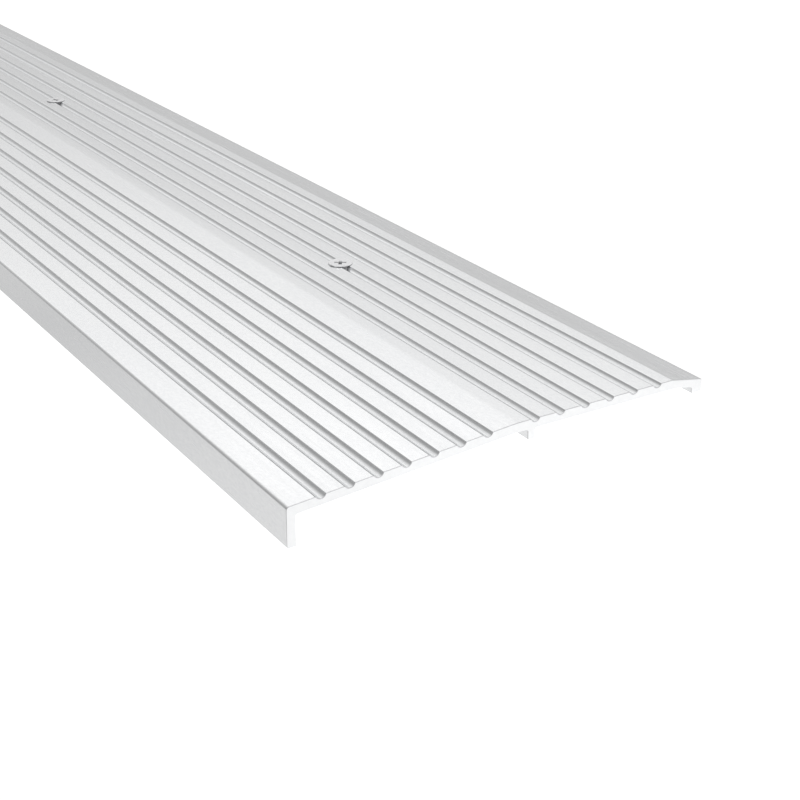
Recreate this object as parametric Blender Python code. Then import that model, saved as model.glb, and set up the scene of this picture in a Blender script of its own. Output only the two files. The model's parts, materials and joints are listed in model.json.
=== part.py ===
"""Fluted aluminium threshold ramp with its countersunk screws, as it lies on a level floor.

The section is drawn as it is installed, with u across from the long leg's outer face and v up
from the walking surface. Everything hangs from one empty, which turns the installed section so
that its two lowest feet touch the floor. The length runs along Y, the long leg is at -X and the
thin tip at +X.
"""
import math

import bmesh
import bpy
from mathutils import Matrix, Vector

# Plate of the extrusion
SECTION_WIDTH = 0.1524
FLAT_WIDTH = 0.0609
SLOPE_ANGLE = math.radians(4.70)
PLATE_THICKNESS = 0.0032

# Bevelled tip
BEVEL_WIDTH = 0.0127
BEVEL_ANGLE = math.radians(10.5)
BEVEL_THICKNESS = 0.0028

# Legs, with the foot depth measured down from the walking surface
FOOT_DEPTH = 0.0067
TIP_FOOT_THICKNESS = 0.0042
MID_LEG_SETBACK = 0.0042
MID_LEG_THICKNESS = 0.0026
LONG_LEG_THICKNESS = 0.0029
LONG_LEG_HEIGHT = 0.0132

# Anti-slip flutes, each margin measured to the first lip
FLUTE_WIDTH = 0.0032
FLUTE_DEPTH = 0.00115
FLUTE_PITCH = 0.00957
FLAT_FLUTE_MARGIN = 0.0045
SLOPE_FLUTE_MARGIN = 0.0088
LAST_LAND_WIDTH = 0.0040

# Radii of the die's corners
EDGE_RADIUS = 0.0004
LIP_RADIUS = 0.0003
ROOT_RADIUS = 0.0008
LEG_TOP_RADIUS = 0.0008
BEVEL_RADIUS = 0.0030
BEND_RADIUS = 0.0200

# Length of the stock and its row of screws
STOCK_LENGTH = 0.9144
SCREW_PITCH = 0.3048
SCREW_FLUTE = 4

# Flat head screw, its head standing a little proud of the walking surface
SCREW_LENGTH = 0.0100
HEAD_DIAMETER = 0.0092
HEAD_STAND = 0.0005
HEAD_RIM = 0.0003
HEAD_CONE = math.radians(82.0)
SHANK_DIAMETER = 0.0043
POINT_LENGTH = 0.0032
POINT_DIAMETER = 0.0006

# Cross recess in the head
RECESS_SPAN = 0.0048
RECESS_WING = 0.0013
RECESS_DEPTH = 0.0022
RECESS_FOOT_SPAN = 0.0020
RECESS_FOOT_WING = 0.0009

# Fits
SEAT_CLEARANCE = 0.0003
SHANK_CLEARANCE = 0.0004
CUT_OVERRUN = 0.0020

# Facets
CORNER_STEPS = 3
FLUTE_STEPS = 14
ROUND_SIDES = 40


def clear_scene():
    for item in list(bpy.data.objects):
        bpy.data.objects.remove(item, do_unlink=True)


def metal(name, colour, roughness):
    material = bpy.data.materials.new(name)
    material.use_nodes = True
    shader = material.node_tree.nodes["Principled BSDF"]
    shader.inputs["Base Color"].default_value = (*colour, 1.0)
    shader.inputs["Metallic"].default_value = 1.0
    shader.inputs["Roughness"].default_value = roughness
    return material


def bend_u():
    """Where the sloping part meets the flat part."""
    return SECTION_WIDTH - BEVEL_WIDTH - FLAT_WIDTH


def slope_drop():
    """How far the slope falls from the bend to the long leg."""
    return bend_u() * math.tan(SLOPE_ANGLE)


def flute_count(face_width, first_margin):
    """How many flutes fit on a face and leave the last land its width."""
    room = face_width - first_margin - FLUTE_WIDTH - LAST_LAND_WIDTH
    return 1 + math.floor(room / FLUTE_PITCH)


def flat_flute_lip(index):
    """Tip side lip of a flute on the flat part, the flutes counted from the tip."""
    return SECTION_WIDTH - BEVEL_WIDTH - FLAT_FLUTE_MARGIN - index * FLUTE_PITCH


def screw_u():
    """Screws stand on the middle line of their flute."""
    return flat_flute_lip(SCREW_FLUTE - 1) - 0.5 * FLUTE_WIDTH


def flute_corners(tip_lip, to_leg, up):
    """Round bottomed groove, from its lip on the tip side to its lip on the leg side."""
    half_width = 0.5 * FLUTE_WIDTH
    radius = (half_width ** 2 + FLUTE_DEPTH ** 2) / (2.0 * FLUTE_DEPTH)
    centre = tip_lip + to_leg * half_width + up * (radius - FLUTE_DEPTH)
    half_arc = math.asin(half_width / radius)
    corners = []
    for step in range(FLUTE_STEPS + 1):
        angle = half_arc * (2.0 * step / FLUTE_STEPS - 1.0)
        point = centre + to_leg * (radius * math.sin(angle)) - up * (radius * math.cos(angle))
        is_lip = step in (0, FLUTE_STEPS)
        corners.append((point, LIP_RADIUS if is_lip else 0.0))
    return corners


def walking_side():
    """Corners of the upper side with their radii, from the tip foot to the long leg."""
    bend = Vector((bend_u(), 0.0))
    down_slope = Vector((-math.cos(SLOPE_ANGLE), -math.sin(SLOPE_ANGLE)))
    slope_up = Vector((-math.sin(SLOPE_ANGLE), math.cos(SLOPE_ANGLE)))
    corners = [(Vector((SECTION_WIDTH, -FOOT_DEPTH)), EDGE_RADIUS),
               (Vector((SECTION_WIDTH, -BEVEL_WIDTH * math.tan(BEVEL_ANGLE))), EDGE_RADIUS),
               (Vector((SECTION_WIDTH - BEVEL_WIDTH, 0.0)), BEVEL_RADIUS)]
    for index in range(flute_count(FLAT_WIDTH, FLAT_FLUTE_MARGIN)):
        lip = Vector((flat_flute_lip(index), 0.0))
        corners += flute_corners(lip, Vector((-1.0, 0.0)), Vector((0.0, 1.0)))
    corners.append((bend, BEND_RADIUS))
    for index in range(flute_count(bend_u() / math.cos(SLOPE_ANGLE), SLOPE_FLUTE_MARGIN)):
        lip = bend + down_slope * (SLOPE_FLUTE_MARGIN + index * FLUTE_PITCH)
        corners += flute_corners(lip, down_slope, slope_up)
    corners.append((Vector((0.0, -slope_drop())), LEG_TOP_RADIUS))
    return corners


def under_side():
    """Corners of the legs and the underside with their radii, from the long leg to the tip."""
    leg_bottom = -slope_drop() - LONG_LEG_HEIGHT
    mid_outer = bend_u() + MID_LEG_SETBACK
    mid_inner = mid_outer + MID_LEG_THICKNESS
    foot_inner = SECTION_WIDTH - TIP_FOOT_THICKNESS
    bevel_start = SECTION_WIDTH - BEVEL_WIDTH

    under_bend = bend_u() + PLATE_THICKNESS * math.tan(0.5 * SLOPE_ANGLE)
    fall_to_leg = (under_bend - LONG_LEG_THICKNESS) * math.tan(SLOPE_ANGLE)
    bevel_plumb = BEVEL_THICKNESS / math.cos(BEVEL_ANGLE)
    under_bevel = bevel_start + (PLATE_THICKNESS - bevel_plumb) / math.tan(BEVEL_ANGLE)
    fall_to_foot = (foot_inner - under_bevel) * math.tan(BEVEL_ANGLE)
    return [(Vector((0.0, leg_bottom)), EDGE_RADIUS),
            (Vector((LONG_LEG_THICKNESS, leg_bottom)), EDGE_RADIUS),
            (Vector((LONG_LEG_THICKNESS, -PLATE_THICKNESS - fall_to_leg)), ROOT_RADIUS),
            (Vector((under_bend, -PLATE_THICKNESS)), BEND_RADIUS),
            (Vector((mid_outer, -PLATE_THICKNESS)), ROOT_RADIUS),
            (Vector((mid_outer, -FOOT_DEPTH)), EDGE_RADIUS),
            (Vector((mid_inner, -FOOT_DEPTH)), EDGE_RADIUS),
            (Vector((mid_inner, -PLATE_THICKNESS)), ROOT_RADIUS),
            (Vector((under_bevel, -PLATE_THICKNESS)), BEVEL_RADIUS),
            (Vector((foot_inner, -PLATE_THICKNESS - fall_to_foot)), ROOT_RADIUS),
            (Vector((foot_inner, -FOOT_DEPTH)), EDGE_RADIUS)]


def rounded(before, corner, after, radius):
    """Points of the arc that rounds a corner between its two neighbours."""
    if radius == 0.0:
        return [corner]
    back = (before - corner).normalized()
    ahead = (after - corner).normalized()
    half_angle = 0.5 * math.acos(back.dot(ahead))
    centre = corner + (back + ahead).normalized() * (radius / math.sin(half_angle))
    first = corner + back * (radius / math.tan(half_angle)) - centre
    turn = math.pi - 2.0 * half_angle
    if back.x * ahead.y - back.y * ahead.x > 0.0:
        turn = -turn
    swings = [Matrix.Rotation(turn * step / CORNER_STEPS, 2) for step in range(CORNER_STEPS + 1)]
    return [centre + swing @ first for swing in swings]


def section_points():
    """Closed outline of the section as installed."""
    corners = walking_side() + under_side()
    points = []
    for number, (corner, radius) in enumerate(corners):
        before = corners[number - 1][0]
        after = corners[(number + 1) % len(corners)][0]
        points += rounded(before, corner, after, radius)
    return points


def floor_frame():
    """Empty that takes the installed section to where it rests, centred over the origin."""
    leg_toe = Vector((LONG_LEG_THICKNESS - EDGE_RADIUS, -slope_drop() - LONG_LEG_HEIGHT))
    tip_toe = Vector((SECTION_WIDTH - EDGE_RADIUS, -FOOT_DEPTH))
    run = tip_toe - leg_toe
    turn = Matrix.Rotation(math.atan2(run.y, run.x), 4, "Y")
    laid = [turn @ Vector((point.x, 0.0, point.y)) for point in section_points()]
    lowest = min(point.z for point in laid)
    middle = 0.5 * (min(point.x for point in laid) + max(point.x for point in laid))
    frame = bpy.data.objects.new("laid_on_floor", None)
    frame.matrix_world = Matrix.Translation((-middle, 0.0, -lowest)) @ turn
    bpy.context.scene.collection.objects.link(frame)
    return frame


def finish_piece(name, form, material, frame):
    bmesh.ops.recalc_face_normals(form, faces=form.faces)
    mesh = bpy.data.meshes.new(name)
    form.to_mesh(mesh)
    form.free()
    mesh.materials.append(material)
    mesh.shade_smooth()
    mesh.set_sharp_from_angle(angle=math.radians(30.0))
    piece = bpy.data.objects.new(name, mesh)
    piece.parent = frame
    bpy.context.scene.collection.objects.link(piece)
    return piece


def stock_form():
    """The outline as one face, pushed along Y over the whole length of the stock."""
    form = bmesh.new()
    outline = [form.verts.new((point.x, -0.5 * STOCK_LENGTH, point.y)) for point in section_points()]
    end_face = form.faces.new(outline)
    pushed = bmesh.ops.extrude_face_region(form, geom=[end_face])
    moved = [item for item in pushed["geom"] if isinstance(item, bmesh.types.BMVert)]
    bmesh.ops.translate(form, verts=moved, vec=(0.0, STOCK_LENGTH, 0.0))
    return form


def lofted_form(rings):
    """Closed body through rings of points, all with the same number of points."""
    form = bmesh.new()
    loops = [[form.verts.new(point) for point in ring] for ring in rings]
    for upper, lower in zip(loops, loops[1:]):
        for side in range(len(upper)):
            following = (side + 1) % len(upper)
            form.faces.new((upper[side], lower[side], lower[following], upper[following]))
    form.faces.new(loops[0])
    form.faces.new(loops[-1])
    return form


def turned_form(profile):
    """Body turned about Z from half its outline, given from the top down."""
    angles = [2.0 * math.pi * side / ROUND_SIDES for side in range(ROUND_SIDES)]
    return lofted_form([[(radius * math.cos(angle), radius * math.sin(angle), height)
                         for angle in angles] for radius, height in profile])


def screw_profile():
    """Half outline of the screw, its head's top at height zero."""
    head_radius = 0.5 * HEAD_DIAMETER
    shank_radius = 0.5 * SHANK_DIAMETER
    cone_height = (head_radius - shank_radius) / math.tan(0.5 * HEAD_CONE)
    return [(head_radius, 0.0),
            (head_radius, -HEAD_RIM),
            (shank_radius, -HEAD_RIM - cone_height),
            (shank_radius, POINT_LENGTH - SCREW_LENGTH),
            (0.5 * POINT_DIAMETER, -SCREW_LENGTH)]


def hole_profile():
    """Half outline of the countersunk hole, which clears the cone by the seat clearance."""
    rim_radius = 0.5 * HEAD_DIAMETER + SEAT_CLEARANCE / math.cos(0.5 * HEAD_CONE)
    bore_radius = 0.5 * SHANK_DIAMETER + SHANK_CLEARANCE
    cone_height = (rim_radius - bore_radius) / math.tan(0.5 * HEAD_CONE)
    return [(rim_radius, CUT_OVERRUN),
            (rim_radius, -HEAD_RIM),
            (bore_radius, -HEAD_RIM - cone_height),
            (bore_radius, -PLATE_THICKNESS - CUT_OVERRUN)]


def recess_form():
    """One wing of the cross recess, which narrows from the head's top to its foot."""
    levels = ((CUT_OVERRUN, RECESS_SPAN, RECESS_WING),
              (0.0, RECESS_SPAN, RECESS_WING),
              (-RECESS_DEPTH, RECESS_FOOT_SPAN, RECESS_FOOT_WING))
    signs = ((-0.5, -0.5), (0.5, -0.5), (0.5, 0.5), (-0.5, 0.5))
    return lofted_form([[(across * span, along * wing, height) for across, along in signs]
                        for height, span, wing in levels])


def cut(piece, cutter):
    cutter.display_type = "WIRE"
    cutter.hide_render = True
    modifier = piece.modifiers.new(cutter.name, "BOOLEAN")
    modifier.operation = "DIFFERENCE"
    modifier.solver = "EXACT"
    modifier.object = cutter


def build():
    clear_scene()
    mill_aluminium = metal("mill_aluminium", (0.91, 0.915, 0.92), 0.35)
    plated_steel = metal("plated_steel", (0.80, 0.80, 0.81), 0.30)
    frame = floor_frame()
    ramp = finish_piece("ramp_extrusion", stock_form(), mill_aluminium, frame)

    screw_count = round(STOCK_LENGTH / SCREW_PITCH)
    for number in range(screw_count):
        place = (screw_u(), (number - 0.5 * (screw_count - 1)) * SCREW_PITCH, HEAD_STAND)
        hole_name = f"hole_{number + 1}"
        hole = finish_piece(hole_name, turned_form(hole_profile()), mill_aluminium, frame)
        hole.location = place
        cut(ramp, hole)

        screw_name = f"screw_{number + 1}"
        screw = finish_piece(screw_name, turned_form(screw_profile()), plated_steel, frame)
        screw.location = place
        for wing_number in range(2):
            wing_name = f"recess_{number + 1}_{wing_number + 1}"
            wing = finish_piece(wing_name, recess_form(), plated_steel, frame)
            wing.location = place
            wing.rotation_euler.z = 0.5 * math.pi * wing_number
            cut(screw, wing)


build()
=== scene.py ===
import json
import math

import bmesh
import bpy
from mathutils import Matrix, Vector


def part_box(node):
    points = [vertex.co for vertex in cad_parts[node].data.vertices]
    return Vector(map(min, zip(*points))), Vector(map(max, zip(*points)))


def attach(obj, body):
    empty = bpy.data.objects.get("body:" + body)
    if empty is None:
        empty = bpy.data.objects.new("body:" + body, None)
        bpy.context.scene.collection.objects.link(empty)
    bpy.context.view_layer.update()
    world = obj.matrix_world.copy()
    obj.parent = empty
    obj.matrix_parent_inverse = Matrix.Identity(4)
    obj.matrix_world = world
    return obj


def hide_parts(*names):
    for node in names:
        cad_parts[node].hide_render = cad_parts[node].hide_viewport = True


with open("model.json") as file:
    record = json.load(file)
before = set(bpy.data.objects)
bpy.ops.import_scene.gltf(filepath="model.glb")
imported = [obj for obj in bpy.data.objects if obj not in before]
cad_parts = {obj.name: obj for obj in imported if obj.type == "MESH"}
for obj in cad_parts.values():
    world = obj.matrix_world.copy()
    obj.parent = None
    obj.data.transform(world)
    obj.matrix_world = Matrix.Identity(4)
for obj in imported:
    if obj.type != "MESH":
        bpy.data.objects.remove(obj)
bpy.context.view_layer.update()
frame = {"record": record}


# The ramp is one bar of aluminium, pushed hot through a die that draws its flutes, legs and
# bevelled tip as one section. The cold bar is sawn to length, its ends are deburred, and the
# screw holes are drilled and countersunk down the middle of one flute.
SECTION_WIDTH = 0.1524
FLAT_WIDTH = 0.0609
SLOPE_ANGLE = math.radians(4.70)
PLATE_THICKNESS = 0.0032
BEVEL_WIDTH = 0.0127
BEVEL_ANGLE = math.radians(10.5)
BEVEL_THICKNESS = 0.0028
FOOT_DEPTH = 0.0067
TIP_FOOT_THICKNESS = 0.0042
MID_LEG_SETBACK = 0.0042
MID_LEG_THICKNESS = 0.0026
LONG_LEG_THICKNESS = 0.0029
LONG_LEG_HEIGHT = 0.0132

FLUTE_WIDTH = 0.0032
FLUTE_DEPTH = 0.00115
FLUTE_PITCH = 0.00957
FLAT_FLUTES = 6
SLOPE_FLUTES = 7
FLAT_FLUTE_MARGIN = 0.0045
SLOPE_FLUTE_MARGIN = 0.0088
FLUTE_FACETS = 12

EDGE_RADIUS = 0.0004
LIP_RADIUS = 0.0003
EASED_LIP_SHARE = 0.91
EASED_LIP_WIDTH = 0.0004
ROOT_RADIUS = 0.0008
LEG_TOP_RADIUS = 0.0012
BEVEL_RADIUS = 0.0030
BEND_RADIUS = 0.0200
CORNER_FACETS = 6

STOCK_LENGTH = 0.9144
SAW_BURR_BREAK = 0.00020
SCREW_COUNT = 3
SCREW_PITCH = 0.3048
SCREW_FLUTE = 4
HOLE_RIM_RADIUS = 0.00465
HOLE_RIM_DEPTH = 0.0012
HOLE_BORE_RADIUS = 0.00255
HEAD_CONE = math.radians(82.0)
CUTTER_OVERRUN = 0.0020
HOLE_SIDES = 96

WELD_DISTANCE = 1e-6
BAR_CREASE = math.radians(30.0)


def node(tree, kind, feeds=None, **settings):
    """Adds a node, gives it its settings, and feeds its sockets with values or other nodes."""
    added = tree.nodes.new(kind)
    for name, value in settings.items():
        setattr(added, name, value)
    for socket, value in (feeds or {}).items():
        for one in value if isinstance(value, list) else [value]:
            if isinstance(one, bpy.types.Node):
                one = next(out for out in one.outputs if out.enabled)
            if isinstance(one, bpy.types.NodeSocket):
                tree.links.new(one, added.inputs[socket])
            else:
                added.inputs[socket].default_value = one
    return added


def sum_up(tree, operation, *values):
    """One step of arithmetic."""
    return node(tree, "ShaderNodeMath", dict(enumerate(values)), operation=operation)


def new_tree(name, inputs, geometry_in=True):
    """Geometry tree with its named inputs, and its group input node."""
    kinds = {int: "NodeSocketInt", float: "NodeSocketFloat", Vector: "NodeSocketVector",
             bpy.types.Object: "NodeSocketObject", bpy.types.Material: "NodeSocketMaterial"}
    tree = bpy.data.node_groups.new(name, "GeometryNodeTree")
    if geometry_in:
        tree.interface.new_socket("Geometry", in_out="INPUT", socket_type="NodeSocketGeometry")
    for label, value in inputs.items():
        tree.interface.new_socket(label, in_out="INPUT", socket_type=kinds[value])
    tree.interface.new_socket("Geometry", in_out="OUTPUT", socket_type="NodeSocketGeometry")
    return tree, tree.nodes.new("NodeGroupInput").outputs


def outline_mesh(name, chains):
    """Mesh of open chains of corners, each corner given as its place and its radius."""
    mesh = bpy.data.meshes.new(name)
    places, radii, edges = [], [], []
    for chain in chains:
        edges += [(len(places) + step, len(places) + step + 1) for step in range(len(chain) - 1)]
        places += [place for place, radius in chain]
        radii += [radius for place, radius in chain]
    mesh.from_pydata(places, edges, [])
    mesh.attributes.new("corner_radius", "FLOAT", "POINT").data.foreach_set("value", radii)
    return mesh


def grow(name, mesh, tree, values):
    """Runs a tree on a mesh and returns what it makes as a plain mesh."""
    seed = bpy.data.objects.new(name, mesh)
    bpy.context.scene.collection.objects.link(seed)
    modifier = seed.modifiers.new(name, "NODES")
    modifier.node_group = tree
    for socket in tree.interface.items_tree:
        if socket.in_out == "INPUT" and socket.name in values:
            modifier[socket.identifier] = values[socket.name]
    grown = plain_mesh(name, seed)
    grown.materials.clear()
    grown.materials.append(values["Finish"])
    bpy.data.objects.remove(seed)
    return grown


def plain_mesh(name, piece):
    """The mesh of an object with its modifiers applied."""
    depsgraph = bpy.context.evaluated_depsgraph_get()
    mesh = bpy.data.meshes.new_from_object(piece.evaluated_get(depsgraph), depsgraph=depsgraph)
    mesh.name = name
    return mesh


def finished_piece(name, mesh, crease_angle):
    """Object at the origin with smooth shading that keeps the lands flat and the edges crisp."""
    mesh.shade_smooth()
    mesh.set_sharp_from_angle(angle=crease_angle)
    piece = bpy.data.objects.new(name, mesh)
    bpy.context.scene.collection.objects.link(piece)
    weighting = piece.modifiers.new("area_weighting", "WEIGHTED_NORMAL")
    weighting.keep_sharp = True
    piece.data = plain_mesh(name, piece)
    piece.modifiers.clear()
    return piece


# A run of flutes side by side along a face of the section. Each is an arc from lip to lip, and
# its last lip is eased with a short flat.
flute_run, given = new_tree("flute_run", {
    "Flutes": int, "First Lip": Vector, "Along": Vector, "Pitch": float, "Width": float,
    "Depth": float, "Lip Radius": float, "Eased Share": float, "Ease Width": float, "Facets": int},
    geometry_in=False)
corners_each = node(flute_run, "FunctionNodeIntegerMath", {0: given["Facets"], 1: 2}, operation="ADD")
corners_all = node(flute_run, "FunctionNodeIntegerMath",
                   {0: given["Flutes"], 1: corners_each}, operation="MULTIPLY")
index = node(flute_run, "GeometryNodeInputIndex")
flute_number = node(flute_run, "FunctionNodeIntegerMath",
                    {0: index, 1: corners_each}, operation="DIVIDE_FLOOR")
facet_number = node(flute_run, "FunctionNodeIntegerMath",
                    {0: index, 1: corners_each}, operation="MODULO")
half_width = sum_up(flute_run, "MULTIPLY", given["Width"], 0.5)
width_squared = sum_up(flute_run, "MULTIPLY", half_width, half_width)
both_squared = sum_up(flute_run, "MULTIPLY_ADD", given["Depth"], given["Depth"], width_squared)
double_depth = sum_up(flute_run, "MULTIPLY", given["Depth"], 2.0)
flute_radius = sum_up(flute_run, "DIVIDE", both_squared, double_depth)
half_arc = sum_up(flute_run, "ARCSINE", sum_up(flute_run, "DIVIDE", half_width, flute_radius))
share = sum_up(flute_run, "DIVIDE", facet_number, given["Facets"])
full_swing = sum_up(flute_run, "MULTIPLY_ADD", share, 2.0, -1.0)
swing = sum_up(flute_run, "MINIMUM", full_swing, given["Eased Share"])
on_land = sum_up(flute_run, "GREATER_THAN", facet_number, sum_up(flute_run, "ADD", given["Facets"], 0.5))
on_arc = sum_up(flute_run, "SUBTRACT", 1.0, on_land)
turn = sum_up(flute_run, "MULTIPLY", swing, half_arc)
sideways = sum_up(flute_run, "MULTIPLY", sum_up(flute_run, "SINE", turn), flute_radius)
from_first = sum_up(flute_run, "MULTIPLY_ADD", flute_number, given["Pitch"], half_width)
past_lip = sum_up(flute_run, "ADD", half_width, given["Ease Width"])
own_place = sum_up(flute_run, "MULTIPLY_ADD", on_land, past_lip,
                   sum_up(flute_run, "MULTIPLY", on_arc, sideways))
across = sum_up(flute_run, "ADD", from_first, own_place)
to_floor = sum_up(flute_run, "MULTIPLY", sum_up(flute_run, "COSINE", turn), flute_radius)
centre_height = sum_up(flute_run, "SUBTRACT", flute_radius, given["Depth"])
arc_height = sum_up(flute_run, "SUBTRACT", centre_height, to_floor)
height = sum_up(flute_run, "MULTIPLY", arc_height, on_arc)
up = node(flute_run, "ShaderNodeVectorMath", {0: given["Along"], 1: (0.0, 0.0, 1.0)},
          operation="CROSS_PRODUCT")
raised = node(flute_run, "ShaderNodeVectorMath", {"Vector": up, "Scale": height}, operation="SCALE")
shifted = node(flute_run, "ShaderNodeVectorMath", {"Vector": given["Along"], "Scale": across},
               operation="SCALE")
from_lip = node(flute_run, "ShaderNodeVectorMath", {0: shifted, 1: raised}, operation="ADD")
corner_place = node(flute_run, "ShaderNodeVectorMath", {0: given["First Lip"], 1: from_lip},
                    operation="ADD")
LIP_SWING = 0.999
at_lip = sum_up(flute_run, "GREATER_THAN", sum_up(flute_run, "ABSOLUTE", full_swing), LIP_SWING)
line = node(flute_run, "GeometryNodeMeshLine", {"Count": corners_all})
bent_line = node(flute_run, "GeometryNodeSetPosition", {"Geometry": line, "Position": corner_place})
marked_line = node(flute_run, "GeometryNodeStoreNamedAttribute", {
    "Geometry": bent_line, "Name": "corner_radius",
    "Value": sum_up(flute_run, "MULTIPLY", at_lip, given["Lip Radius"])})
node(flute_run, "NodeGroupOutput", {"Geometry": marked_line})

# A body turned about Z from half its outline, which runs from the top pole to the bottom one.
turned_body, given = new_tree("turned_body", {"Sides": int})
outline_points = node(turned_body, "GeometryNodeAttributeDomainSize",
                      {"Geometry": given["Geometry"]}, component="MESH")
columns = node(turned_body, "FunctionNodeIntegerMath", {0: given["Sides"], 1: 1}, operation="ADD")
grid = node(turned_body, "GeometryNodeMeshGrid",
            {"Vertices X": columns, "Vertices Y": outline_points.outputs["Point Count"]})
index = node(turned_body, "GeometryNodeInputIndex")
column = node(turned_body, "FunctionNodeIntegerMath",
              {0: index, 1: outline_points.outputs["Point Count"]}, operation="DIVIDE_FLOOR")
row = node(turned_body, "FunctionNodeIntegerMath",
           {0: index, 1: outline_points.outputs["Point Count"]}, operation="MODULO")
outline_place = node(turned_body, "GeometryNodeSampleIndex", {
    "Geometry": given["Geometry"], "Value": node(turned_body, "GeometryNodeInputPosition"),
    "Index": row}, data_type="FLOAT_VECTOR")
part_turn = sum_up(turned_body, "DIVIDE", column, given["Sides"])
turn = sum_up(turned_body, "MULTIPLY", part_turn, -2.0 * math.pi)
swung_place = node(turned_body, "ShaderNodeVectorRotate",
                   {"Vector": outline_place, "Angle": turn}, rotation_type="Z_AXIS")
turned = node(turned_body, "GeometryNodeSetPosition", {"Geometry": grid, "Position": swung_place})
closed = node(turned_body, "GeometryNodeMergeByDistance",
              {"Geometry": turned, "Distance": WELD_DISTANCE})
node(turned_body, "NodeGroupOutput", {"Geometry": closed})

# The whole bar: the die's outline gets its flutes and its radii, is pushed to the stock's length,
# and is drilled.
fluted_bar, given = new_tree("fluted_bar", {
    "Flat Flutes": int, "First Flat Lip": Vector, "Along Flat": Vector, "Slope Flutes": int,
    "First Slope Lip": Vector, "Along Slope": Vector, "Flute Pitch": float, "Flute Width": float,
    "Flute Depth": float, "Lip Radius": float, "Eased Share": float, "Ease Width": float,
    "Flute Facets": int, "Corner Facets": int, "Stock Length": float,
    "Hole Outline": bpy.types.Object, "Hole Sides": int, "Holes": int, "First Hole": Vector,
    "Hole Step": Vector, "Finish": bpy.types.Material})
runs = [node(fluted_bar, "GeometryNodeGroup", {
    "Flutes": given[f"{face} Flutes"], "First Lip": given[f"First {face} Lip"],
    "Along": given[f"Along {face}"], "Pitch": given["Flute Pitch"], "Width": given["Flute Width"],
    "Depth": given["Flute Depth"], "Lip Radius": given["Lip Radius"],
    "Eased Share": given["Eased Share"], "Ease Width": given["Ease Width"],
    "Facets": given["Flute Facets"]},
    node_tree=flute_run) for face in ("Flat", "Slope")]
loose = node(fluted_bar, "GeometryNodeJoinGeometry", {"Geometry": [given["Geometry"], *runs]})
joined = node(fluted_bar, "GeometryNodeMergeByDistance",
              {"Geometry": loose, "Distance": WELD_DISTANCE})
die_line = node(fluted_bar, "GeometryNodeMeshToCurve", {"Mesh": joined})
radius = node(fluted_bar, "GeometryNodeInputNamedAttribute", {"Name": "corner_radius"})
rounded_line = node(fluted_bar, "GeometryNodeFilletCurve", {
    "Curve": die_line, "Count": given["Corner Facets"], "Radius": radius}, mode="POLY")
section_face = node(fluted_bar, "GeometryNodeFillCurve", {"Curve": rounded_line}, mode="NGONS")
pushed = node(fluted_bar, "GeometryNodeExtrudeMesh", {
    "Mesh": section_face, "Offset Scale": given["Stock Length"], "Individual": False})
first_face = node(fluted_bar, "GeometryNodeFlipFaces", {"Mesh": section_face})
open_bar = node(fluted_bar, "GeometryNodeJoinGeometry",
                {"Geometry": [pushed.outputs["Mesh"], first_face]})
standing_bar = node(fluted_bar, "GeometryNodeMergeByDistance",
                    {"Geometry": open_bar, "Distance": WELD_DISTANCE})
half_stock = node(fluted_bar, "ShaderNodeCombineXYZ",
                  {"Y": sum_up(fluted_bar, "MULTIPLY", given["Stock Length"], 0.5)})
bar = node(fluted_bar, "GeometryNodeTransform", {
    "Geometry": standing_bar, "Translation": half_stock, "Rotation": (math.radians(90.0), 0.0, 0.0)})
hole_outline = node(fluted_bar, "GeometryNodeObjectInfo", {"Object": given["Hole Outline"]})
cutter = node(fluted_bar, "GeometryNodeGroup", {
    "Geometry": hole_outline.outputs["Geometry"], "Sides": given["Hole Sides"]}, node_tree=turned_body)
hole_row = node(fluted_bar, "GeometryNodeMeshLine", {
    "Count": given["Holes"], "Start Location": given["First Hole"], "Offset": given["Hole Step"]})
cutters = node(fluted_bar, "GeometryNodeInstanceOnPoints", {"Points": hole_row, "Instance": cutter})
solid_cutters = node(fluted_bar, "GeometryNodeRealizeInstances", {"Geometry": cutters})
drilled = node(fluted_bar, "GeometryNodeMeshBoolean",
               {"Mesh 1": bar, "Mesh 2": solid_cutters}, operation="DIFFERENCE", solver="EXACT")
real_bar = node(fluted_bar, "GeometryNodeRealizeInstances", {"Geometry": drilled})
finished_bar = node(fluted_bar, "GeometryNodeSetMaterial",
                    {"Geometry": real_bar, "Material": given["Finish"]})
node(fluted_bar, "NodeGroupOutput", {"Geometry": finished_bar})


def new_finish(name):
    """Plain metal finish, with its tree and its shader."""
    finish = bpy.data.materials.new(name)
    finish.use_nodes = True
    tree = finish.node_tree
    shader = tree.nodes["Principled BSDF"]
    shader.inputs["Metallic"].default_value = 1.0
    return finish, tree, shader


def stretched_noise(tree, marks_a_metre, detail, turn=(0.0, 0.0, 0.0)):
    """Noise drawn out along one direction of the bar, as drawing and sawing leave it."""
    place = node(tree, "ShaderNodeTexCoord").outputs["Object"]
    mapped = node(tree, "ShaderNodeMapping", {"Vector": place, "Rotation": turn, "Scale": marks_a_metre})
    return node(tree, "ShaderNodeTexNoise", {"Vector": mapped, "Scale": 1.0, "Detail": detail})


def ranged(tree, value, low, high, new_low, new_high):
    """A value taken from one range to another, and held there."""
    return node(tree, "ShaderNodeMapRange", {
        "Value": value, "From Min": low, "From Max": high, "To Min": new_low, "To Max": new_high})


def mixed_colour(tree, share, first, second):
    """Blend of two colours or tones of metal."""
    mix = node(tree, "ShaderNodeMix", {0: share, 6: first, 7: second}, data_type="RGBA")
    return mix.outputs[2]


def bumps(tree, shader, layers):
    """Feeds the shader's normal with height layers, each given with its depth in metres."""
    below = None
    for height_map, depth in layers:
        feeds = {"Strength": 1.0, "Distance": depth, "Height": height_map}
        if below is not None:
            feeds["Normal"] = below
        below = node(tree, "ShaderNodeBump", feeds)
    tree.links.new(below.outputs[0], shader.inputs["Normal"])


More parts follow.
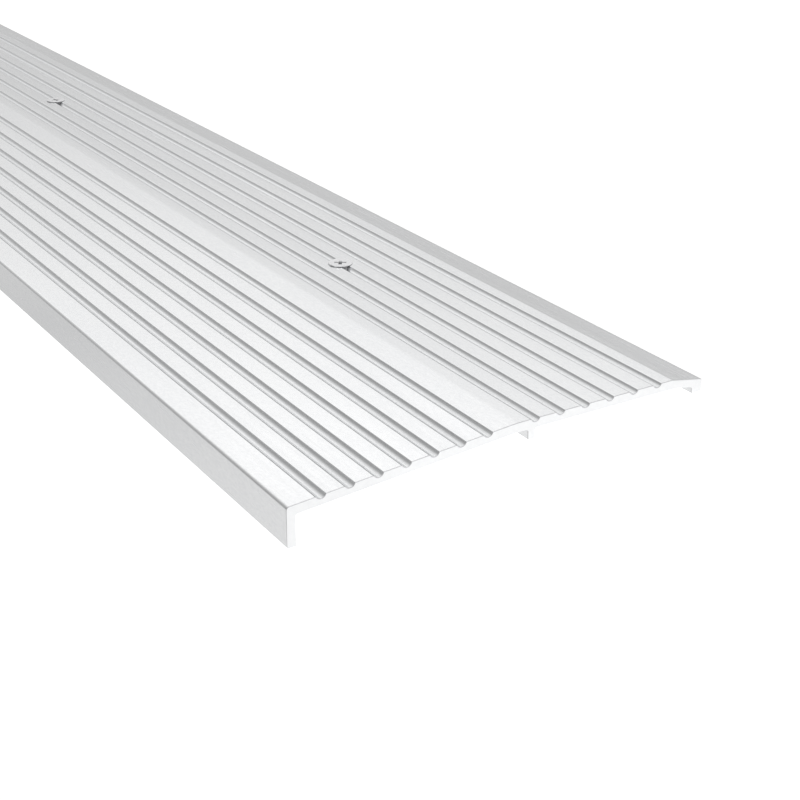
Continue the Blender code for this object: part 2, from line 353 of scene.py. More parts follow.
# Marks a metre across, along and through the bar, and the depths that the marks are cut to.
FINE_LINES = (2400.0, 4.0, 2400.0)
DIE_LINES = (420.0, 1.1, 420.0)
CLOUDS = (34.0, 9.0, 34.0)
MOTTLING = (1100.0, 550.0, 1100.0)
SCRATCHES = (2600.0, 45.0, 2600.0)
SCRATCH_SLANT = (0.0, 0.0, math.radians(24.0))
FINE_LINE_DEPTH = 0.0000015
DIE_LINE_DEPTH = 0.000008
SCRATCH_DEPTH = 0.000001
SCRATCH_ROUGHNESS = 0.10
CLOUD_ROUGHNESS = 0.06


def drawn_finish(name, bright, dull, polish):
    """Drawn skin: die lines along the bar, faint clouding and mottling, and a few fine scratches."""
    finish, tree, shader = new_finish(name)
    fine_lines = stretched_noise(tree, FINE_LINES, 2.0)
    die_lines = stretched_noise(tree, DIE_LINES, 3.0)
    clouding = ranged(tree, stretched_noise(tree, CLOUDS, 3.0), 0.38, 0.66, 0.0, 0.55)
    mottling = ranged(tree, stretched_noise(tree, MOTTLING, 2.0), 0.3, 0.7, -0.25, 0.75)
    scratches = ranged(tree, stretched_noise(tree, SCRATCHES, 1.0, SCRATCH_SLANT), 0.70, 0.76, 0.0, 1.0)
    streaked = ranged(tree, die_lines, 0.35, 0.65, *polish)
    scratched = sum_up(tree, "MULTIPLY_ADD", scratches, SCRATCH_ROUGHNESS, streaked)
    clouded = sum_up(tree, "MULTIPLY_ADD", clouding, CLOUD_ROUGHNESS, scratched)
    dullness = sum_up(tree, "ADD", clouding, mottling)
    tree.links.new(clouded.outputs[0], shader.inputs["Roughness"])
    tree.links.new(mixed_colour(tree, dullness, bright, dull), shader.inputs["Base Color"])
    bumps(tree, shader, [
        (fine_lines, FINE_LINE_DEPTH), (die_lines, DIE_LINE_DEPTH), (scratches, -SCRATCH_DEPTH)])
    return finish


# The lands, legs and bevel are bright. The flutes are a darker, slightly rougher tone of the same metal.
ALUMINIUM = (0.91, 0.915, 0.92, 1.0)
DULL_ALUMINIUM = (0.86, 0.867, 0.877, 1.0)
DARKER_FLUTE_ALUMINIUM = (0.835, 0.842, 0.85, 1.0)
DULL_DARKER_FLUTE_ALUMINIUM = (0.785, 0.793, 0.803, 1.0)
drawn_skin = drawn_finish("mill_aluminium_drawn", ALUMINIUM, DULL_ALUMINIUM, (0.18, 0.24))
flute_skin = drawn_finish("mill_aluminium_flute", DARKER_FLUTE_ALUMINIUM, DULL_DARKER_FLUTE_ALUMINIUM, (0.20, 0.26))

# Sawn ends: the same metal, cut across, with the blade's marks and a little more tooth.
BLADE_MARKS = (2600.0, 1.0, 160.0)
BLADE_SLANT = (0.0, math.radians(14.0), 0.0)
BLADE_MARK_DEPTH = 0.000004
GRAIN = (900.0, 900.0, 900.0)
GRAIN_DEPTH = 0.000003
sawn_end, tree, shader = new_finish("mill_aluminium_sawn")
blade_marks = stretched_noise(tree, BLADE_MARKS, 3.0, BLADE_SLANT)
grain = stretched_noise(tree, GRAIN, 2.0)
toothed = ranged(tree, blade_marks, 0.3, 0.7, 0.36, 0.50)
tarnish = ranged(tree, grain, 0.3, 0.7, 0.0, 0.5)
tree.links.new(toothed.outputs[0], shader.inputs["Roughness"])
tree.links.new(mixed_colour(tree, tarnish, ALUMINIUM, DULL_ALUMINIUM), shader.inputs["Base Color"])
bumps(tree, shader, [(blade_marks, BLADE_MARK_DEPTH), (grain, GRAIN_DEPTH)])

# The burr that the saw leaves is a real broken edge, but its dark colour is painted shade. The eased lip
# along one side of each flute is dark with painted shade. Both are dull bare metal, too narrow to show a
# pattern.
BURR_SHADE_METAL = (0.60, 0.605, 0.615, 1.0)
LIP_SHADE_METAL = (0.40, 0.405, 0.415, 1.0)
DULL_ROUGHNESS = 0.42
burr_shade_finish, _, burr_shade_shader = new_finish("mill_aluminium_burr_painted_shade")
lip_shade_finish, _, lip_shade_shader = new_finish("mill_aluminium_lip_painted_shade")
for shader, metal in ((burr_shade_shader, BURR_SHADE_METAL), (lip_shade_shader, LIP_SHADE_METAL)):
    shader.inputs["Base Color"].default_value = metal
    shader.inputs["Roughness"].default_value = DULL_ROUGHNESS

# The die's outline, from the tip, in the section's own frame: the bend lies where slope meets flat.
bend = Vector((SECTION_WIDTH - BEVEL_WIDTH - FLAT_WIDTH, 0.0, 0.0))
down_slope = Vector((-math.cos(SLOPE_ANGLE), -math.sin(SLOPE_ANGLE), 0.0))
along_flat = Vector((-1.0, 0.0, 0.0))
first_flat_lip = Vector((SECTION_WIDTH - BEVEL_WIDTH - FLAT_FLUTE_MARGIN, 0.0, 0.0))
eased_flute = FLUTE_WIDTH + EASED_LIP_WIDTH
last_flat_lip = first_flat_lip + along_flat * ((FLAT_FLUTES - 1) * FLUTE_PITCH + eased_flute)
first_slope_lip = bend + down_slope * SLOPE_FLUTE_MARGIN
last_slope_lip = first_slope_lip + down_slope * ((SLOPE_FLUTES - 1) * FLUTE_PITCH + eased_flute)

slope_foot = -bend.x * math.tan(SLOPE_ANGLE)
leg_bottom = slope_foot - LONG_LEG_HEIGHT
mid_outer = bend.x + MID_LEG_SETBACK
mid_inner = mid_outer + MID_LEG_THICKNESS
foot_inner = SECTION_WIDTH - TIP_FOOT_THICKNESS
under_bend = bend.x + PLATE_THICKNESS * math.tan(0.5 * SLOPE_ANGLE)
fall_to_leg = (under_bend - LONG_LEG_THICKNESS) * math.tan(SLOPE_ANGLE)
bevel_plumb = BEVEL_THICKNESS / math.cos(BEVEL_ANGLE)
under_bevel = SECTION_WIDTH - BEVEL_WIDTH + (PLATE_THICKNESS - bevel_plumb) / math.tan(BEVEL_ANGLE)
fall_to_foot = (foot_inner - under_bevel) * math.tan(BEVEL_ANGLE)

round_the_legs = [
    (last_slope_lip, LIP_RADIUS),
    ((0.0, slope_foot, 0.0), LEG_TOP_RADIUS),
    ((0.0, leg_bottom, 0.0), EDGE_RADIUS),
    ((LONG_LEG_THICKNESS, leg_bottom, 0.0), EDGE_RADIUS),
    ((LONG_LEG_THICKNESS, -PLATE_THICKNESS - fall_to_leg, 0.0), ROOT_RADIUS),
    ((under_bend, -PLATE_THICKNESS, 0.0), BEND_RADIUS),
    ((mid_outer, -PLATE_THICKNESS, 0.0), ROOT_RADIUS),
    ((mid_outer, -FOOT_DEPTH, 0.0), EDGE_RADIUS),
    ((mid_inner, -FOOT_DEPTH, 0.0), EDGE_RADIUS),
    ((mid_inner, -PLATE_THICKNESS, 0.0), ROOT_RADIUS),
    ((under_bevel, -PLATE_THICKNESS, 0.0), BEVEL_RADIUS),
    ((foot_inner, -PLATE_THICKNESS - fall_to_foot, 0.0), ROOT_RADIUS),
    ((foot_inner, -FOOT_DEPTH, 0.0), EDGE_RADIUS),
    ((SECTION_WIDTH, -FOOT_DEPTH, 0.0), EDGE_RADIUS),
    ((SECTION_WIDTH, -BEVEL_WIDTH * math.tan(BEVEL_ANGLE), 0.0), EDGE_RADIUS),
    ((SECTION_WIDTH - BEVEL_WIDTH, 0.0, 0.0), BEVEL_RADIUS),
    (first_flat_lip, LIP_RADIUS)]
over_the_bend = [(last_flat_lip, LIP_RADIUS), (bend, BEND_RADIUS), (first_slope_lip, LIP_RADIUS)]

cone_foot = HOLE_RIM_DEPTH + (HOLE_RIM_RADIUS - HOLE_BORE_RADIUS) / math.tan(0.5 * HEAD_CONE)
hole_outline = bpy.data.objects.new("hole_outline", outline_mesh("hole_outline", [[
    ((0.0, 0.0, CUTTER_OVERRUN), 0.0),
    ((HOLE_RIM_RADIUS, 0.0, CUTTER_OVERRUN), 0.0),
    ((HOLE_RIM_RADIUS, 0.0, -HOLE_RIM_DEPTH), 0.0),
    ((HOLE_BORE_RADIUS, 0.0, -cone_foot), 0.0),
    ((HOLE_BORE_RADIUS, 0.0, -PLATE_THICKNESS - CUTTER_OVERRUN), 0.0),
    ((0.0, 0.0, -PLATE_THICKNESS - CUTTER_OVERRUN), 0.0)]]))
screw_u = first_flat_lip.x - (SCREW_FLUTE - 1) * FLUTE_PITCH - 0.5 * FLUTE_WIDTH
first_hole = Vector((screw_u, -0.5 * (SCREW_COUNT - 1) * SCREW_PITCH, 0.0))

bar_mesh = grow("fluted_bar", outline_mesh("die_outline", [round_the_legs, over_the_bend]), fluted_bar, {
    "Flat Flutes": FLAT_FLUTES, "First Flat Lip": first_flat_lip, "Along Flat": along_flat,
    "Slope Flutes": SLOPE_FLUTES, "First Slope Lip": first_slope_lip, "Along Slope": down_slope,
    "Flute Pitch": FLUTE_PITCH, "Flute Width": FLUTE_WIDTH, "Flute Depth": FLUTE_DEPTH,
    "Lip Radius": LIP_RADIUS, "Eased Share": EASED_LIP_SHARE, "Ease Width": EASED_LIP_WIDTH,
    "Flute Facets": FLUTE_FACETS, "Corner Facets": CORNER_FACETS, "Stock Length": STOCK_LENGTH,
    "Hole Outline": hole_outline, "Hole Sides": HOLE_SIDES,
    "Holes": SCREW_COUNT, "First Hole": first_hole, "Hole Step": Vector((0.0, SCREW_PITCH, 0.0)),
    "Finish": drawn_skin})
bpy.data.objects.remove(hole_outline)

# The saw breaks the ends' outer edges. The ends, that break with its painted shade, the eased lips with
# their painted shade, and the flutes get finishes of their own. Walls that turn up or out show, and the
# leg's foot keeps its plain corner.
SKINS = (drawn_skin, sawn_end, burr_shade_finish, lip_shade_finish, flute_skin)
DRAWN, SAWN, SHADED_BURR, SHADED_LIP, FLUTED = range(len(SKINS))
LEAST_DEPTH_IN_FLUTE = 0.00002
form = bmesh.new()
form.from_mesh(bar_mesh)
end_edges = [edge for edge in form.edges
             if abs(edge.verts[0].co.y - edge.verts[1].co.y) < WELD_DISTANCE
             and abs(abs(edge.verts[0].co.y) - 0.5 * STOCK_LENGTH) < WELD_DISTANCE]
outer_edges = [edge for edge in end_edges
               if any(face.normal.z > 0.2 or face.normal.x < -0.9 for face in edge.link_faces)
               and edge.verts[0].co.z > leg_bottom + 2.0 * EDGE_RADIUS]
broken = bmesh.ops.bevel(form, geom=outer_edges, offset=SAW_BURR_BREAK, segments=2, profile=0.5,
                         affect="EDGES", clamp_overlap=False)
for face in form.faces:
    is_end = abs(face.normal.y) > 0.9 and len(face.verts) > 4
    face.material_index = SAWN if is_end else DRAWN
# The saw's broken edges get the dark burr finish: a real edge with painted shade on it.
for face in broken["faces"]:
    face.material_index = SHADED_BURR
flute_middles = [(first + along * (number * FLUTE_PITCH + 0.5 * FLUTE_WIDTH), along)
                 for first, along, count in ((first_flat_lip, along_flat, FLAT_FLUTES),
                                             (first_slope_lip, down_slope, SLOPE_FLUTES))
                 for number in range(count)]
past_flute = 0.5 * FLUTE_WIDTH + 0.6 * EASED_LIP_WIDTH
eased_lip_start = 0.5 * FLUTE_WIDTH - 0.3 * EASED_LIP_WIDTH
for face in form.faces:
    if face.material_index == DRAWN and face.normal.z > 0.1:
        middle = face.calc_center_median()
        for flute_middle, along in flute_middles:
            from_middle = Vector((middle.x, middle.z, 0.0)) - flute_middle
            across = from_middle.dot(along)
            below = -from_middle.cross(along).z
            if abs(across) < past_flute and below > LEAST_DEPTH_IN_FLUTE:
                # Eased lips get the dark lip finish, which is painted shade.
                on_eased_lip = across > eased_lip_start and face.normal.x < 0.5
                face.material_index = SHADED_LIP if on_eased_lip else FLUTED
form.to_mesh(bar_mesh)
form.free()

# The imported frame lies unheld, so the section leans until its two lowest feet touch the floor.
walking_face = next(m for m in frame["record"]["mounts"] if m["name"] == "walking_face")
lean = Matrix.Rotation(math.atan2(walking_face["axis"][0], walking_face["axis"][2]), 4, "Y")
bar_mesh.transform(lean)
lowest = Vector(min(v.co[axis] for v in bar_mesh.vertices) for axis in range(3))
settle = Matrix.Translation(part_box("ramp_extrusion")[0] - lowest)
bar_mesh.transform(settle)
laid = settle @ lean
for skin in SKINS[1:]:
    bar_mesh.materials.append(skin)
bar = finished_piece("fluted_bar", bar_mesh, BAR_CREASE)
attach(bar, "root")
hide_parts("ramp_extrusion")


# The screws are flat head screws of plated steel with a cross recess, cold headed and rolled. Each
# sits in a countersink across its flute, with its head standing half a millimetre off the lands.
HEAD_STAND = 0.0005
HEAD_RADIUS = 0.0046
HEAD_RIM = 0.0003
RIM_BREAK = 0.00008
ROOT_OF_THREAD = 0.0017
CREST_OF_THREAD = 0.0023
THREAD_PITCH = 0.0015
THREAD_TOP = -0.0028
RUN_IN_RATE = 5.0
RUN_OUT_RATE = 9.0
LEAST_THREAD = 0.08
STEPS_A_TURN = 32
RIDGE_CORNERS = 3
SCREW_LENGTH = 0.0100
POINT_LENGTH = 0.0032
POINT_RADIUS = 0.0002
POINT_THREAD = 0.15
RECESS_SPAN = 0.0048
RECESS_WING = 0.0013
RECESS_DEPTH = 0.0022
RECESS_FOOT = 0.45
RECESS_CORE = 0.0011
CORE_FOOT = 0.35
CORE_LENGTH = 1.1
CORE_SINK = 1.06
CORE_SIDES = 32
FIRST_RECESS_TURN = math.radians(-32.0)
NEXT_RECESS_TURN = math.radians(38.0)
SCREW_SIDES = 96
SCREW_CREASE = math.radians(35.0)

screw_row, given = new_tree("screw_row", {
    "Sides": int, "Thread Pitch": float, "Thread Root": float, "Thread Depth": float,
    "Thread Top": float, "Screw Length": float, "Point Length": float, "Recess Span": float,
    "Recess Wing": float, "Recess Depth": float, "Recess Foot": float, "Recess Core": float,
    "First Turn": float, "Next Turn": float, "Screws": int, "First Screw": Vector,
    "Screw Step": Vector, "Finish": bpy.types.Material})
blank = node(screw_row, "GeometryNodeGroup",
             {"Geometry": given["Geometry"], "Sides": given["Sides"]}, node_tree=turned_body)

wing_size = node(screw_row, "ShaderNodeCombineXYZ", {
    "X": given["Recess Span"], "Y": given["Recess Wing"],
    "Z": sum_up(screw_row, "MULTIPLY", given["Recess Depth"], 2.0)})
block = node(screw_row, "GeometryNodeMeshCube", {"Size": wing_size, "Vertices Z": 3})
block_place = node(screw_row, "GeometryNodeInputPosition")
block_height = node(screw_row, "ShaderNodeSeparateXYZ", {"Vector": block_place}).outputs["Z"]
sunk = sum_up(screw_row, "DIVIDE", block_height, given["Recess Depth"])
narrowing = node(screw_row, "ShaderNodeMapRange", {
    "Value": sunk, "From Min": -1.0, "From Max": 0.0, "To Min": given["Recess Foot"], "To Max": 1.0})
narrow = node(screw_row, "ShaderNodeCombineXYZ", {"X": narrowing, "Y": narrowing, "Z": 1.0})
wing_place = node(screw_row, "ShaderNodeVectorMath", {0: block_place, 1: narrow}, operation="MULTIPLY")
wing = node(screw_row, "GeometryNodeSetPosition", {"Geometry": block, "Position": wing_place})
cross_wing = node(screw_row, "GeometryNodeTransform",
                  {"Geometry": wing, "Rotation": (0.0, 0.0, math.radians(90.0))})
core = node(screw_row, "GeometryNodeMeshCone", {
    "Vertices": CORE_SIDES, "Radius Top": given["Recess Core"],
    "Radius Bottom": sum_up(screw_row, "MULTIPLY", given["Recess Core"], CORE_FOOT),
    "Depth": sum_up(screw_row, "MULTIPLY", given["Recess Depth"], CORE_LENGTH)})
core_shift = node(screw_row, "ShaderNodeCombineXYZ",
                  {"Z": sum_up(screw_row, "MULTIPLY", given["Recess Depth"], -CORE_SINK)})
low_core = node(screw_row, "GeometryNodeTransform", {"Geometry": core, "Translation": core_shift})
headed = node(screw_row, "GeometryNodeMeshBoolean",
              {"Mesh 1": blank, "Mesh 2": [wing, cross_wing, low_core]},
              operation="DIFFERENCE", solver="EXACT")

thread_run = sum_up(screw_row, "ADD", given["Thread Top"], given["Screw Length"])
thread_turns = sum_up(screw_row, "DIVIDE", thread_run, given["Thread Pitch"])
helix = node(screw_row, "GeometryNodeCurveSpiral", {
    "Resolution": STEPS_A_TURN, "Rotations": thread_turns, "Start Radius": given["Thread Root"],
    "End Radius": given["Thread Root"], "Height": thread_run})
helix_place = node(screw_row, "GeometryNodeInputPosition")
above_point = node(screw_row, "ShaderNodeSeparateXYZ", {"Vector": helix_place}).outputs["Z"]
point_share = sum_up(screw_row, "DIVIDE", above_point, given["Point Length"])
taper = node(screw_row, "ShaderNodeMapRange", {
    "Value": point_share, "From Min": 0.0, "From Max": 1.0, "To Min": POINT_THREAD, "To Max": 1.0})
tapered = node(screw_row, "ShaderNodeVectorMath", {
    0: helix_place, 1: node(screw_row, "ShaderNodeCombineXYZ", {"X": taper, "Y": taper, "Z": 1.0})},
    operation="MULTIPLY")
point_shift = node(screw_row, "ShaderNodeCombineXYZ",
                   {"Z": sum_up(screw_row, "MULTIPLY", given["Screw Length"], -1.0)})
rolled = node(screw_row, "GeometryNodeSetPosition",
              {"Geometry": helix, "Position": tapered, "Offset": point_shift})
upright = node(screw_row, "GeometryNodeSetCurveNormal", {"Curve": rolled}, mode="Z_UP")
ridge = node(screw_row, "GeometryNodeCurvePrimitiveCircle",
             {"Resolution": RIDGE_CORNERS, "Radius": given["Thread Depth"]})
along_thread = node(screw_row, "GeometryNodeSplineParameter").outputs["Factor"]
to_end = sum_up(screw_row, "SUBTRACT", 1.0, along_thread)
run_in = sum_up(screw_row, "MULTIPLY", along_thread, RUN_IN_RATE)
run_out = sum_up(screw_row, "MULTIPLY", to_end, RUN_OUT_RATE)
swell = sum_up(screw_row, "MINIMUM", 1.0, sum_up(screw_row, "MINIMUM", run_in, run_out))
thread = node(screw_row, "GeometryNodeCurveToMesh", {
    "Curve": upright, "Profile Curve": ridge,
    "Scale": sum_up(screw_row, "MAXIMUM", swell, LEAST_THREAD), "Fill Caps": True})

one_screw = node(screw_row, "GeometryNodeJoinGeometry", {"Geometry": [headed, thread]})
marked_screw = node(screw_row, "GeometryNodeStoreNamedAttribute", {
    "Geometry": one_screw, "Name": "screw_place",
    "Value": node(screw_row, "GeometryNodeInputPosition")}, data_type="FLOAT_VECTOR")
screw_places = node(screw_row, "GeometryNodeMeshLine", {
    "Count": given["Screws"], "Start Location": given["First Screw"], "Offset": given["Screw Step"]})
recess_turn = sum_up(screw_row, "MULTIPLY_ADD", node(screw_row, "GeometryNodeInputIndex"),
                     given["Next Turn"], given["First Turn"])
screws_in_row = node(screw_row, "GeometryNodeInstanceOnPoints", {
    "Points": screw_places, "Instance": marked_screw,
    "Rotation": node(screw_row, "ShaderNodeCombineXYZ", {"Z": recess_turn})})
real_screws = node(screw_row, "GeometryNodeRealizeInstances", {"Geometry": screws_in_row})
plated = node(screw_row, "GeometryNodeSetMaterial",
              {"Geometry": real_screws, "Material": given["Finish"]})
node(screw_row, "NodeGroupOutput", {"Geometry": plated})

# Bright zinc plate over cold headed steel, with faint rings on the head, and painted shade that turns
# the plate dark down in the recess.
BRIGHT_PLATE = (0.86, 0.86, 0.87, 1.0)
RECESS_SHADE_PLATE = (0.20, 0.20, 0.21, 1.0)
HEAD_RINGS = 26000.0
PITTING = 1400.0
PIT_DEPTH = 0.000006
RING_DEPTH = 0.0000008
RECESS_SHADE_DEPTHS = (-0.0008, -0.00005)
RECESS_SHADE_REACH = (0.0023, 0.0026)
zinc_plate, tree, shader = new_finish("plated_steel_bright")
screw_place = node(tree, "ShaderNodeAttribute", attribute_name="screw_place").outputs["Vector"]
screw_axes = node(tree, "ShaderNodeSeparateXYZ", {"Vector": screw_place})
from_axis = node(tree, "ShaderNodeVectorMath", {0: node(tree, "ShaderNodeCombineXYZ", {
    "X": screw_axes.outputs["X"], "Y": screw_axes.outputs["Y"]})}, operation="LENGTH")
ring_phase = sum_up(tree, "MULTIPLY", from_axis.outputs["Value"], HEAD_RINGS)
rings = sum_up(tree, "SINE", ring_phase)
pitting = node(tree, "ShaderNodeTexNoise", {"Vector": screw_place, "Scale": PITTING, "Detail": 3.0})
# Painted shade: the plate darkens deep in the recess, near the axis.
in_recess = ranged(tree, screw_axes.outputs["Z"], *RECESS_SHADE_DEPTHS, 1.0, 0.0)
near_axis = ranged(tree, from_axis.outputs["Value"], *RECESS_SHADE_REACH, 1.0, 0.0)
recess_shade = sum_up(tree, "MULTIPLY", in_recess, near_axis)
satin = ranged(tree, pitting, 0.3, 0.7, 0.24, 0.38)
tree.links.new(mixed_colour(tree, recess_shade, BRIGHT_PLATE, RECESS_SHADE_PLATE), shader.inputs["Base Color"])
tree.links.new(satin.outputs[0], shader.inputs["Roughness"])
bumps(tree, shader, [(pitting, PIT_DEPTH), (rings, RING_DEPTH)])

shank_top = -HEAD_RIM - (HEAD_RADIUS - CREST_OF_THREAD) / math.tan(0.5 * HEAD_CONE)
screw_outline = outline_mesh("screw_outline", [[
    ((0.0, 0.0, 0.0), 0.0),
    ((0.6 * HEAD_RADIUS, 0.0, 0.0), 0.0),
    ((HEAD_RADIUS - RIM_BREAK, 0.0, 0.0), 0.0),
    ((HEAD_RADIUS, 0.0, -RIM_BREAK), 0.0),
    ((HEAD_RADIUS, 0.0, -HEAD_RIM), 0.0),
    ((CREST_OF_THREAD, 0.0, shank_top), 0.0),
    ((ROOT_OF_THREAD, 0.0, shank_top - (CREST_OF_THREAD - ROOT_OF_THREAD)), 0.0),
    ((ROOT_OF_THREAD, 0.0, POINT_LENGTH - SCREW_LENGTH), 0.0),
    ((POINT_RADIUS, 0.0, -SCREW_LENGTH), 0.0),
    ((0.0, 0.0, -SCREW_LENGTH), 0.0)]])
screw_mesh = grow("flat_head_screws", screw_outline, screw_row, {
    "Sides": SCREW_SIDES, "Thread Pitch": THREAD_PITCH, "Thread Root": ROOT_OF_THREAD,
    "Thread Depth": CREST_OF_THREAD - ROOT_OF_THREAD, "Thread Top": THREAD_TOP,
    "Screw Length": SCREW_LENGTH, "Point Length": POINT_LENGTH, "Recess Span": RECESS_SPAN,
    "Recess Wing": RECESS_WING, "Recess Depth": RECESS_DEPTH, "Recess Foot": RECESS_FOOT,
    "Recess Core": RECESS_CORE, "First Turn": FIRST_RECESS_TURN, "Next Turn": NEXT_RECESS_TURN,
    "Screws": SCREW_COUNT, "First Screw": first_hole + Vector((0.0, 0.0, HEAD_STAND)),
    "Screw Step": Vector((0.0, SCREW_PITCH, 0.0)), "Finish": zinc_plate})
screw_mesh.transform(laid)
screws = finished_piece("flat_head_screws", screw_mesh, SCREW_CREASE)
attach(screws, "root")
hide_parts(*[f"screw_{number + 1}" for number in range(SCREW_COUNT)])


# The studio: a white floor and white surroundings, with soft grey cards that the bright metal needs
# to show its form: upright ones far off, at the left and behind, and level ones overhead and on the
# floor. The cards are seen only in reflections.
WHITE = (1.0, 1.0, 1.0, 1.0)
FLOOR_PAINT = (0.85, 0.85, 0.85, 1.0)
FLOOR_REACH = 14.0
FLOOR_DROP = 0.0002
FLOOR_GLOW = 0.93
ROOM_LIGHT = 0.10


def seen_directly(tree):
    """One for rays of the camera and for those that metal and glass send on, zero for the rest."""
    path = node(tree, "ShaderNodeLightPath").outputs
    seen = sum_up(tree, "MAXIMUM", path["Is Camera Ray"], path["Is Glossy Ray"])
    return sum_up(tree, "MAXIMUM", seen, path["Is Transmission Ray"])


def stage_panel(name, corners, material):
    """Flat panel of the studio, which is no part of the ramp."""
    mesh = bpy.data.meshes.new(name)
    mesh.from_pydata(corners, [], [tuple(range(len(corners)))])
    mesh.materials.append(material)
    panel = bpy.data.objects.new(name, mesh)
    bpy.context.scene.collection.objects.link(panel)
    return panel


floor_paint = bpy.data.materials.new("white_floor")
floor_paint.use_nodes = True
tree = floor_paint.node_tree
tree.nodes.clear()
paint = node(tree, "ShaderNodeBsdfDiffuse", {"Color": FLOOR_PAINT})
glow = node(tree, "ShaderNodeEmission", {
    "Color": WHITE, "Strength": sum_up(tree, "MULTIPLY", seen_directly(tree), FLOOR_GLOW)})
lit_floor = node(tree, "ShaderNodeAddShader", {0: paint, 1: glow})
node(tree, "ShaderNodeOutputMaterial", {"Surface": lit_floor})
stage_panel("studio_floor", [(FLOOR_REACH * x, FLOOR_REACH * y, -FLOOR_DROP)
                             for x, y in ((-1, -1), (1, -1), (1, 1), (-1, 1))], floor_paint)

room = bpy.data.worlds.new("white_room")
room.use_nodes = True
bpy.context.scene.world = room
tree = room.node_tree
tree.nodes.clear()
room_light = node(tree, "ShaderNodeBackground", {"Color": WHITE, "Strength": ROOM_LIGHT})
white_back = node(tree, "ShaderNodeBackground", {"Color": WHITE, "Strength": 1.0})
room_mix = node(tree, "ShaderNodeMixShader", {0: seen_directly(tree), 1: room_light, 2: white_back})
node(tree, "ShaderNodeOutputWorld", {"Surface": room_mix})


def new_card_paint(name):
    """Empty paint for a card, with its tree and its Object coordinates."""
    card_paint = bpy.data.materials.new(name)
    card_paint.use_nodes = True
    tree = card_paint.node_tree
    tree.nodes.clear()
    return card_paint, tree, node(tree, "ShaderNodeTexCoord").outputs["Object"]


def put_up_card(name, corners, card_paint, tone):
    """Card that glows in its tones of grey and is seen only in reflections."""
    tree = card_paint.node_tree
    tone_glow = node(tree, "ShaderNodeEmission", {"Color": tone, "Strength": 1.0})
    node(tree, "ShaderNodeOutputMaterial", {"Surface": tone_glow})
    card = stage_panel(name, corners, card_paint)
    card.visible_camera = False
    card.visible_diffuse = False
    card.visible_shadow = False


def upright_card(name, azimuth, distance, width, height, shading, span, tones):
    """Card facing the ramp, shaded between two distances along a line across and up it."""
    card_paint, tree, spot = new_card_paint(name)
    facing = Vector((math.sin(azimuth), math.cos(azimuth), 0.0))
    to_right = Vector((facing.y, -facing.x, 0.0))
    shading_line = to_right * shading[0] + Vector((0.0, 0.0, shading[1]))
    along = node(tree, "ShaderNodeVectorMath", {0: spot, 1: shading_line}, operation="DOT_PRODUCT")
    share = ranged(tree, along.outputs["Value"], *span, 0.0, 1.0)
    tone = node(tree, "ShaderNodeValToRGB", {"Fac": share})
    while len(tone.color_ramp.elements) < len(tones):
        tone.color_ramp.elements.new(0.5)
    for stop, (share_of_span, grey) in zip(tone.color_ramp.elements, tones):
        stop.position = share_of_span
        stop.color = (grey, grey, grey, 1.0)
    sideways = to_right * (0.5 * width)
    foot = facing * distance
    top = Vector((0.0, 0.0, height))
    put_up_card(name, [foot - sideways, foot + sideways, foot + sideways + top, foot - sideways + top],
                card_paint, tone)


upright_card("far_card", math.radians(40.0), 3.4, 6.0, 3.3, (0.087, 1.0), (0.0, 3.3),
             ((0.0, 0.50), (0.18, 0.60), (0.36, 0.85), (0.54, 1.02), (0.72, 1.27), (0.82, 0.88),
              (1.0, 0.85)))
upright_card("left_card", math.radians(-44.0), 3.0, 6.8, 4.2, (1.0, 0.35), (0.3, 4.7),
             ((0.0, 0.36), (0.18, 0.43), (0.33, 0.51), (0.57, 0.71), (0.9, 0.81), (1.0, 0.84)))
upright_card("rear_card", math.radians(-135.0), 3.0, 6.8, 3.3, (0.0, 1.0), (0.0, 3.3),
             ((0.0, 0.52), (0.5, 0.74), (1.0, 0.95)))

NEAR_END = -0.5 * STOCK_LENGTH
LEFT_SIDE = -0.5 * SECTION_WIDTH
RIGHT_SIDE = 0.5 * SECTION_WIDTH
SHADED_LENGTH = 0.20
ON_FLOOR = 0.0001


def level_card(name, height, near_left, far_right, near_tone, far_tone):
    """Level card between two corners, shaded over the first stretch of the ramp."""
    card_paint, tree, spot = new_card_paint(name)
    along = node(tree, "ShaderNodeSeparateXYZ", {"Vector": spot}).outputs["Y"]
    tone = ranged(tree, along, NEAR_END, NEAR_END + SHADED_LENGTH, near_tone, far_tone)
    (left, near), (right, far) = near_left, far_right
    put_up_card(name, [(left, near, height), (right, near, height), (right, far, height),
                       (left, far, height)], card_paint, tone)


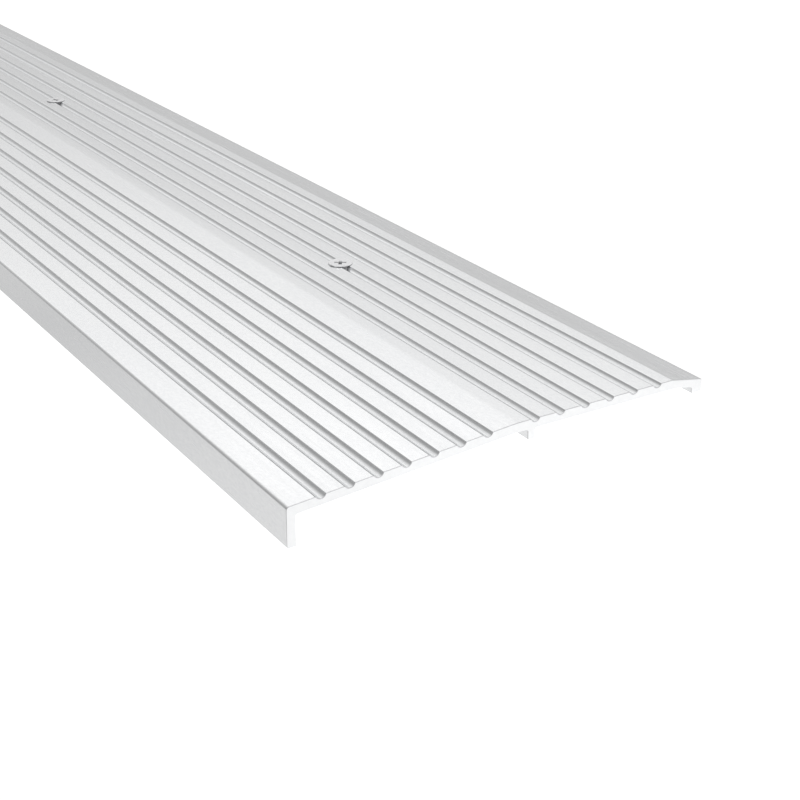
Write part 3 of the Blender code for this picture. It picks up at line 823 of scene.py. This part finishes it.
level_card("left_floor_card", ON_FLOOR, (-5.0, NEAR_END), (LEFT_SIDE, 6.0), 0.79, 0.64)
level_card("middle_floor_card", ON_FLOOR, (LEFT_SIDE, NEAR_END), (RIGHT_SIDE, 6.0), 0.88, 0.74)
level_card("right_floor_card", ON_FLOOR, (RIGHT_SIDE, NEAR_END), (5.0, 6.0), 0.79, 0.64)
level_card("front_floor_card", ON_FLOOR, (-0.095, NEAR_END - 0.05), (-0.035, NEAR_END), 1.06, 1.06)
level_card("top_card", 4.2, (-5.0, -3.0), (5.0, 5.0), 0.90, 0.90)
level_card("back_card", 1.3, (0.05, -1.9), (1.6, -0.8), 0.28, 0.28)

# One large soft lamp over the ramp, for the shadow under it and a little life on the screws.
LAMP_SIZE = 0.8
LAMP_POWER = 4.0
LAMP_PLACE = (0.6, 0.4, 2.2)
lamp_data = bpy.data.lights.new("soft_lamp", "AREA")
lamp_data.shape = "SQUARE"
lamp_data.size = LAMP_SIZE
lamp_data.energy = LAMP_POWER
lamp = bpy.data.objects.new("soft_lamp", lamp_data)
lamp.location = LAMP_PLACE
lamp.rotation_mode = "QUATERNION"
lamp.rotation_quaternion = lamp.location.to_track_quat("Z", "Y")
bpy.context.scene.collection.objects.link(lamp)

# The photograph shows the ramp with its feet level, so the camera leans with the ramp.
SENSOR_WIDTH = 36.0
CAMERA_LENS = 71.014
CAMERA_YAW = math.radians(31.793)
CAMERA_PITCH = math.radians(24.444)
CAMERA_PLACE = Vector((-0.177279, -0.346273 - 0.5 * STOCK_LENGTH, 0.202751))
camera_data = bpy.data.cameras.new("photo_camera")
camera_data.sensor_width = SENSOR_WIDTH
camera_data.lens = CAMERA_LENS
camera_data.clip_start = 0.01
camera_data.clip_end = 100.0
camera = bpy.data.objects.new("photo_camera", camera_data)
aim = Matrix.Rotation(-CAMERA_YAW, 4, "Z") @ Matrix.Rotation(math.radians(90.0) - CAMERA_PITCH, 4, "X")
camera.matrix_world = laid @ Matrix.Translation(CAMERA_PLACE) @ aim
bpy.context.scene.collection.objects.link(camera)
bpy.context.scene.camera = camera

bpy.context.scene.view_settings.view_transform = "Standard"
